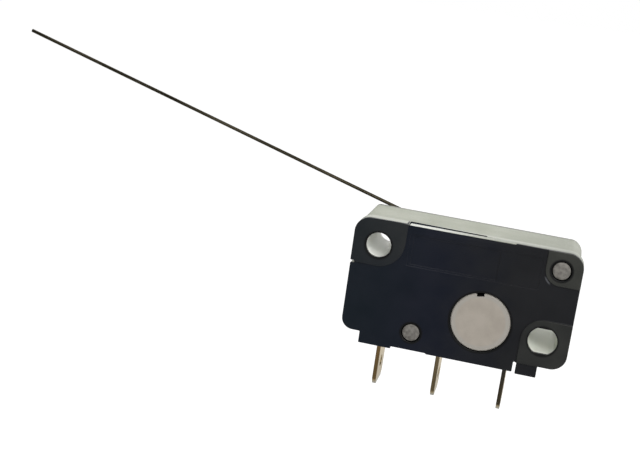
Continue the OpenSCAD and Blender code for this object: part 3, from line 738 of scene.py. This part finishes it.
# %% Rivet metal
rivet_tones = {
    "dark": colour(106, 103, 98),
    "light": colour(140, 137, 131),
    "rim": colour(38, 37, 35),
}
mottle_size = 0.4 * mm
rivet_roughness = (0.55, 0.7)
rivet_metallic = 0.6
rim_shade_span, rivet_front = span(1.02, 1.08), span(2, 2.1)


def rivet_metal():
    """The material of both rivets."""
    material, tree, shader = finish_of("pressed rivet metal", rivet_metallic)
    mottle = grain(tree, mottle_size)
    metal = blend(tree, mottle, rivet_tones["dark"], rivet_tones["light"])
    upper, lower = [off_axis(tree, centre) for centre in rivets_at]
    # Painted shade: the rims of the rivet ends are painted dark.
    rim = rising(tree, joined(tree, "MINIMUM", upper, lower), rim_shade_span)
    front = falling(tree, along(tree, "Y"), rivet_front)
    metal = painted(tree, overlap(tree, rim, front), metal, rivet_tones["rim"])
    roughness = spread(tree, mottle, *rivet_roughness)
    surfaced(tree, shader, metal, roughness, mottle, height=0.008 * mm, strength=0.3)
    return material


store_finish("rivet_metal", rivet_metal())

# %% [markdown]
# ### Brass terminals
# The terminals are stamped from rolled strip. Their faces are pale, with streaks along the strip. Their
# cut edges are tarnished and carry painted shade, which deepens towards the right blade, whose edges are
# darkest. Every border has a dark line, and the tips are tinned. Three materials would do for the three
# blades, but one that reads how far right a blade stands gives each its own edge tone.

# %% Terminal brass
brass_tones = {
    "dark": colour(180, 157, 108),
    "light": colour(210, 191, 146),
    "left cut": colour(140, 114, 76),
    "middle cut": colour(130, 115, 88),
    "right cut": colour(62, 60, 55),
    "edge": colour(44, 37, 25),
    "low": colour(84, 72, 48),
    "tin": colour(158, 157, 150),
}
streak_size, streak_stretch = 0.3 * mm, (1, 1, 12)
brass_roughness = (0.3, 0.45)
line_w, line_share = 0.14 * mm, 0.95
blades_across, middle_blade = span(1.6, 17.5), 0.47
front_cut, back_cut = span(2.83, 3.0), span(7.3, 7.47)
low_part, tinned = span(-16.5, -13), span(-18.5, -18.1)


def terminal_brass():
    """The material of all three terminals."""
    material, tree, shader = finish_of("rolled brass", metallic=1.0)
    deep, up = along(tree, "Y"), along(tree, "Z")
    streak = grain(tree, streak_size, streak_stretch)
    metal = blend(tree, streak, brass_tones["dark"], brass_tones["light"])
    side = rising(tree, along(tree, "X"), blades_across)
    # Tarnish and painted shade on the cut edges, darker towards the right blade.
    edge_tarnish_and_shade = blend(tree, side, brass_tones["left cut"], brass_tones["right cut"], 0.0, 1.0,
                    middle=(middle_blade, brass_tones["middle cut"]))
    cut = joined(tree, "MAXIMUM", falling(tree, deep, front_cut), rising(tree, deep, back_cut))
    metal = painted(tree, cut, metal, edge_tarnish_and_shade)
    lined = joined(tree, "MULTIPLY", near_edge(tree, line_w), line_share)
    metal = painted(tree, lined, metal, brass_tones["edge"])
    metal = painted(tree, falling(tree, up, low_part, top=0.5), metal, brass_tones["low"])
    metal = painted(tree, falling(tree, up, tinned, top=0.8), metal, brass_tones["tin"])
    roughness = spread(tree, streak, *brass_roughness)
    surfaced(tree, shader, metal, roughness, streak, height=0.01 * mm, strength=0.3)
    return material


store_finish("terminal_brass", terminal_brass())

# %% [markdown]
# ## Dress a piece
# A finished piece stands for its solid part, moves with that part's body and takes the part's finish. All
# of this could be typed for each piece, but the record already lists it, so one function reads it from
# there. The small parts inside the case keep their own shape and only get a finish.

# %% Put a piece in its place
slot_of = {part["node"]: part["material_slot"] for part in frame["record"]["subparts"]}
body_of = {node: body for body, names in frame["record"]["behaviour"]["bodies"].items() for node in names}


def coat(piece, node):
    """Gives an object the finish of its solid part's slot, and no other."""
    piece.data.materials.clear()
    piece.data.materials.append(finishes[slot_of[node]])


def dress(piece, node):
    """Finishes a new piece and puts it in its solid part's place."""
    coat(piece, node)
    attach(piece, body_of[node])
    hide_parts(node)


for node in nodes:
    coat(nodes[node], node)
print("slots in use:", sorted(set(slot_of.values())))

# %% [markdown]
# ## Cover
# The cover keeps the radius of its mould. In the picture its tongue stands level with the lip in front of
# it, so the copy's tongue is lifted a little. The raised corner round the lower hole is one flat ring,
# which a single face can't be, and dissolving it would leave a narrow face beside the hole that shades
# badly. So it is cut in two at the hole first, and the cut is marked as a seam, which the dissolving
# leaves alone.

# %% Cover
cover_radius = 0.09 * mm
tongue_front = 1.22 * mm
tongue_low = 3.1 * mm
tongue_top = 3.27 * mm
low_corner_top = -4 * mm


def only(kind, items):
    """The items of one kind, such as edges, from an operator's result."""
    return [item for item in items if isinstance(item, kind)]


def halved_corner(bm):
    """Cuts the raised front face at the lower hole in two."""
    front = [face for face in bm.faces if max(vert.co.y for vert in face.verts) < merge_gap]
    corner = [face for face in front if face.calc_center_median().z < low_corner_top]
    edges = dict.fromkeys(edge for face in corner for edge in face.edges)
    verts = dict.fromkeys(vert for face in corner for vert in face.verts)
    cut = bmesh.ops.bisect_plane(bm, geom=[*corner, *edges, *verts], dist=merge_gap,
                                 plane_co=lower_hole, plane_no=(1, 0, 0))["geom_cut"]
    seams = only(bmesh.types.BMEdge, cut)
    for edge in seams:
        edge.seam = True
    print("corner faces:", len(corner), "cut edges:", len(seams))


def full_cover(bm):
    """Lifts the top of the cover's tongue level with the lip, and halves the lower corner."""
    for vert in bm.verts:
        if vert.co.y > tongue_front and vert.co.z > tongue_low:
            vert.co.z = tongue_top
    halved_corner(bm)


dress(softened("cover", cover_radius, full_cover), "cover")

# %% [markdown]
# ## Rotor and terminals
# The rotor keeps the radius of its mould and the terminals the one that a stamping die leaves. The dish
# in the rotor's disc is much shallower in the picture than on the solid part, so its floor is lifted
# close to the rim. The terminals need no change.

# %% Rotor and terminals
small_radius = 0.06 * mm
dish_depth = 0.03 * mm
dish_reach = 0.2 * mm
disc_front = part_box("rotor")[0].y


def off_centre(place, centre):
    """How far a place is from an axis along Y through a centre."""
    return (place.xz - centre.xz).length


def shallow_dish(bm):
    """Lifts the floor of the rotor's dish close to its rim."""
    for vert in bm.verts:
        if off_centre(vert.co, rotor_at) < dish_r and vert.co.y < disc_front + dish_reach:
            vert.co.y = disc_front + dish_depth


dress(softened("rotor", small_radius, shallow_dish), "rotor")
for node in ("common_terminal", "open_terminal", "closed_terminal"):
    dress(softened(node, small_radius), node)

# %% [markdown]
# ## Base
# In the picture the base's top lies nearer to the top of its flange than on the solid part, most of all
# in the middle and at the left, and the lower hole narrows towards the back, as a drafted core leaves it.
# The base could be modelled again, but moving a copy's vertices keeps all its slots and tubes. Each
# vertex behind the flange moves by a share that falls to nothing along the rounded corners, which keeps
# them round.

# %% The body behind the flange
flange_back = 2.2 * mm
body_top, body_left, body_right = 2.84 * mm, -2.35 * mm, 24.24 * mm
right_corner = 1.5 * mm
slack = 0.01 * mm


def on_body(place):
    """Whether a place is on the body behind the flange, and not on the flange itself."""
    x, y, z = place
    round_centre = Vector((body_right - right_corner, y, body_top - right_corner))
    in_corner = x < round_centre.x or off_centre(place, round_centre) < right_corner + slack
    behind = y >= flange_back - slack
    return in_corner and behind and z <= body_top + slack and x >= body_left - slack


# %% Base
base_radius = 0.12 * mm
left_corner = 0.5 * mm
lift_left, lift_right = 0.24 * mm, 0.1 * mm
lift_change = span(12, 24)
left_out = 0.19 * mm
rivet_tube_r = 1.7 * mm
hole_draft, hole_reach, draft_front = 0.23, 1.9 * mm, 9 * mm


def share_of(value, start, end):
    """How far a value has come from start to end, from zero to one."""
    return min(1.0, max(0.0, (value - start) / (end - start)))


def drawn_out(bm):
    """Moves the body's top up and its left side out, and drafts the lower hole."""
    moved = 0
    for vert in bm.verts:
        place = vert.co.copy()
        if not on_body(place):
            continue
        x, y, z = place
        if z > body_top - left_corner - slack and off_centre(place, rivets_at[0]) >= rivet_tube_r:
            lift = lift_left + (lift_right - lift_left) * share_of(x, *lift_change)
            vert.co.z += lift * share_of(z, body_top - left_corner, body_top)
            moved += 1
        if x < body_left + left_corner:
            vert.co.x -= left_out * share_of(-x, -body_left - left_corner, -body_left)
            moved += 1
        below = lower_hole.z - z
        if off_centre(place, lower_hole) < hole_reach and below > 0 and y > draft_front:
            vert.co.z += hole_draft * below
            moved += 1
    print("vertices of the base moved:", moved)


dress(softened("base", base_radius, drawn_out), "base")

# %% [markdown]
# ## Rivets
# A rivet is turned: a shank, and a wider head that is pressed into the base's back. Its front end is
# pressed too, so it is slightly domed and its rim is rounded over. Stacked cylinders would leave its rims
# hard, so one half outline, spun round the shank's axis, makes the whole rivet.

# %% A turned rivet
rivet_d = 2.2 * mm
rivet_head_t = 0.42 * mm
rivet_rim = 0.14 * mm
rivet_dome = 0.05 * mm
rivet_steps = 56


def closed_up(bm):
    """Merges doubles and turns all faces outwards."""
    bmesh.ops.remove_doubles(bm, verts=bm.verts, dist=merge_gap)
    bmesh.ops.recalc_face_normals(bm, faces=bm.faces)


def turned_rivet(node, middle):
    """Spins a rivet's half outline round its axis."""
    low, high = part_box(node)
    shank_r = rivet_d / 2
    head_r = (high.x - low.x) / 2
    front, back = low.y, high.y
    outline = [
        (0, front),
        (shank_r - 2 * rivet_rim, front + rivet_dome / 2),
        (shank_r - rivet_rim, front + rivet_dome),
        (shank_r - rivet_rim / 3, front + rivet_rim / 2),
        (shank_r, front + rivet_rim),
        (shank_r, back - rivet_head_t),
        (head_r, back - rivet_head_t),
        (head_r, back - rivet_rim),
        (head_r - rivet_rim, back),
        (0, back),
    ]
    bm = bmesh.new()
    points = [bm.verts.new((middle.x + r, y, middle.z)) for r, y in outline]
    edges = [bm.edges.new(pair) for pair in zip(points, points[1:])]
    bmesh.ops.spin(bm, geom=points + edges, cent=middle, axis=(0, 1, 0),
                   angle=math.tau, steps=rivet_steps, use_merge=True)
    closed_up(bm)
    rivet = put_down(bm, node + "_finished")
    rivet.data.set_sharp_from_angle(angle=sharp_angle)
    print(rivet.name, "faces:", len(rivet.data.polygons))
    return rivet


# %% Two rivets
for node, middle in zip(rivet_names, rivets_at):
    dress(turned_rivet(node, middle), node)

# %% [markdown]
# ## Wire lever
# The lever is one length of spring wire: a short leg in the hub, a bend, a leg along the hub's slot, a
# second bend and the long arm. A curve with a round section would also do, but a ring of edges that is
# extruded along the straight stretches and spun round the bends is how the wire itself is formed.

# %% Straight stretches and bends
def drawn_on(bm, ring, way):
    """Extrudes a ring of edges straight on and returns its new end."""
    moved = bmesh.ops.extrude_edge_only(bm, edges=ring)["geom"]
    far_end = only(bmesh.types.BMVert, moved)
    bmesh.ops.translate(bm, verts=far_end, vec=way)
    return [edge for edge in only(bmesh.types.BMEdge, moved) if set(far_end).issuperset(edge.verts)]


def bent_on(bm, ring, centre, axis, angle, steps):
    """Spins a ring of edges round a bend and returns its new end."""
    verts = dict.fromkeys(vert for edge in ring for vert in edge.verts)
    last = bmesh.ops.spin(
        bm, geom=[*ring, *verts], cent=centre, axis=axis, angle=angle, steps=steps)["geom_last"]
    return only(bmesh.types.BMEdge, last)


# %% Bend the wire
wire_r = 0.225 * mm
wire_sides = 20
hub_leg = 3.0 * mm
hub_bend = 0.5 * mm
hub_bend_steps = 8
slot_leg = 6.4 * mm
lever_bend = 1.6 * mm
lever_bend_steps = 14
lever_length = 68.3 * mm
arm_turn = math.pi - lever_rise
depth = Vector((0, 1, 0))

wire_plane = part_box("wire_lever")[1].y - wire_r
hub = Vector((rotor_at.x, wire_plane, rotor_at.z))
slot_way, arm_way = in_plane(slot_turn), in_plane(arm_turn)
turn = arm_turn - slot_turn
cut = lever_bend * math.tan(turn / 2)

bm = bmesh.new()
facing = Matrix.Translation(hub - depth * hub_leg) @ Matrix.Rotation(math.pi / 2, 4, "X")
start = bmesh.ops.create_circle(bm, cap_ends=True, radius=wire_r, segments=wire_sides, matrix=facing)
ring = list(dict.fromkeys(edge for vert in start["verts"] for edge in vert.link_edges))
ring = drawn_on(bm, ring, depth * (hub_leg - hub_bend))
corner = hub + (slot_way - depth) * hub_bend
ring = bent_on(bm, ring, corner, depth.cross(slot_way), math.pi / 2, hub_bend_steps)
ring = drawn_on(bm, ring, slot_way * (slot_leg - cut - hub_bend))
bend_centre = hub + slot_way * (slot_leg - cut) + in_plane(slot_turn + math.pi / 2) * lever_bend
ring = bent_on(bm, ring, bend_centre, -depth, turn, lever_bend_steps)
ring = drawn_on(bm, ring, arm_way * (lever_length - cut))
bmesh.ops.contextual_create(bm, geom=ring)
closed_up(bm)
wire = put_down(bm, "wire_lever_finished")
wire.data.set_sharp_from_angle(angle=sharp_angle)
dress(wire, "wire_lever")

# %% [markdown]
# ## Stage
# The switch hangs in front of plain white. The floor lies a little below it and still takes its shadow.
# More light would also make the floor white, but it would wash out the cream base. So the camera is shown
# the floor and the world as white, and so are shiny surfaces, apart from the side where the camera
# stands: there a light tent has its dark opening, which keeps the black cover black.

# %% White for the camera
def seen_level(tree, shown, matt_share):
    """White for the camera and through glass, the level shown for glossy rays, and a share for others."""
    path = tree.nodes.new("ShaderNodeLightPath").outputs
    share = spread(tree, path["Is Glossy Ray"], matt_share, 1.0, 0.0, 1.0)
    direct = joined(tree, "MAXIMUM", path["Is Camera Ray"], path["Is Transmission Ray"])
    return joined(tree, "MAXIMUM", joined(tree, "MULTIPLY", share, shown), direct)


# %% Paper that looks white
floor_tone = (0.35, 0.35, 0.35, 1)
floor_glow = 0.88
floor_glow_change = (-0.12, 0.05)


def white_floor():
    """Pale paper that the camera sees as white, apart from the shadow on it."""
    material = bpy.data.materials.new("white floor")
    material.use_nodes = True
    tree = material.node_tree
    tree.nodes.clear()
    paper = tree.nodes.new("ShaderNodeBsdfDiffuse")
    paper.inputs["Color"].default_value = floor_tone
    glow = tree.nodes.new("ShaderNodeEmission")
    behind = rising(tree, along(tree, "Y"), floor_glow_change)
    shine = joined(tree, "MULTIPLY", seen_level(tree, behind, 0.0), floor_glow)
    tree.links.new(shine, glow.inputs["Strength"])
    both = tree.nodes.new("ShaderNodeAddShader")
    output = tree.nodes.new("ShaderNodeOutputMaterial")
    tree.links.new(paper.outputs["BSDF"], both.inputs[0])
    tree.links.new(glow.outputs["Emission"], both.inputs[1])
    tree.links.new(both.outputs["Shader"], output.inputs["Surface"])
    return material


# %% Floor
floor_drop = 30 * mm
floor_half = 3.0

bm = bmesh.new()
bmesh.ops.create_grid(bm, x_segments=2, y_segments=2, size=floor_half)
bmesh.ops.translate(bm, verts=bm.verts, vec=(0, 0, cad_low.z - floor_drop))
floor = put_down(bm, "floor")
floor.data.materials.append(white_floor())
print("floor at", round((cad_low.z - floor_drop) / mm, 2), "mm")

# %% [markdown]
# ## World
# The world is the light tent. A picture of a studio could light the switch too, but a plain white that
# changes with the direction is enough: bright behind the switch and dim where the camera stands. Matt
# surfaces get less than half of it, which leaves the lamps some light to give.

# %% World
room_level = 0.42
front_level, front_change = 0.1, (-0.95, -0.15)
back_level, back_change = 0.7, (0.6, 0.95)

world = bpy.data.worlds.new("white surround")
bpy.context.scene.world = world
world.use_nodes = True
tree = world.node_tree
way = tree.nodes.new("ShaderNodeTexCoord")
axes = tree.nodes.new("ShaderNodeSeparateXYZ")
tree.links.new(way.outputs["Generated"], axes.inputs["Vector"])
tent = spread(tree, axes.outputs["Y"], front_level, 1.0, *front_change)
backdrop = rising(tree, axes.outputs["Y"], back_change, top=back_level)
surround = joined(tree, "ADD", tent, backdrop)
background = tree.nodes["Background"]
background.inputs["Color"].default_value = (1, 1, 1, 1)
tree.links.new(seen_level(tree, surround, room_level), background.inputs["Strength"])
print("surround: matt surfaces get", room_level, "of it, the camera's side has", front_level)

# %% [markdown]
# ## Light
# The picture was taken in a light tent: soft light from all round and from the white behind the switch,
# which brightens the top. Most of the lamps' light comes from the right and the front, and some from near
# the camera, which reaches into the mounting holes. A lamp's power could be found by trial, but it is
# easier to say which share of a full exposure it should give to a surface that faces it, and work out the
# watts: a lamp's light falls with the square of its distance, and at one metre a full exposure takes pi
# squared watts.

# %% Lamps
lit_point = Vector((0.008, 0.004, -0.004))


def soft_lamp(name, place, size, share):
    """A square lamp that faces the switch and gives it a share of a full exposure."""
    data = bpy.data.lights.new(name, "AREA")
    data.shape = "SQUARE"
    data.size = size
    data.energy = share * math.pi ** 2 * (place - lit_point).length_squared
    lamp = bpy.data.objects.new(name, data)
    bpy.context.scene.collection.objects.link(lamp)
    lamp.location = place
    lamp.rotation_euler = (lit_point - place).to_track_quat("-Z", "Y").to_euler()
    print(name, "lamp:", round(data.energy, 2), "watts")


soft_lamp("right", place=Vector((0.36, -0.22, 0.2)), size=0.25, share=0.28)
soft_lamp("front", place=Vector((0.2, -0.5, 0.4)), size=0.3, share=0.42)
soft_lamp("camera side", place=Vector((0.04, -0.6, 0.16)), size=0.15, share=0.22)
soft_lamp("left", place=Vector((-0.1, 0.06, 0.18)), size=0.12, share=0.05)

# %% [markdown]
# ## Camera
# The camera looks slightly down and from the right, and is rolled a little, so the case leans as it does
# in the picture. Turning the switch would give the same lean, but the pieces have to stay where the solid
# parts are. The camera's place and lens give the same perspective as the picture.

# %% Camera
camera_place = Vector((19.66, -140, 33.01)) * mm
camera_aim = Vector((-7.41, 0, 0.29)) * mm
camera_roll = math.radians(8.07)
camera_lens = 66.92

camera_data = bpy.data.cameras.new("camera")
camera_data.lens = camera_lens
camera_data.sensor_width = 36
camera_data.sensor_fit = "HORIZONTAL"
camera_data.clip_start = 0.01
camera = bpy.data.objects.new("camera", camera_data)
bpy.context.scene.collection.objects.link(camera)
look = (camera_aim - camera_place).to_track_quat("-Z", "Y").to_matrix().to_4x4()
camera.matrix_world = Matrix.Translation(camera_place) @ look @ Matrix.Rotation(camera_roll, 4, "Z")
bpy.context.scene.camera = camera
bpy.context.scene.view_settings.view_transform = "Standard"
print("camera at", in_mm(camera_place, 1), "mm")
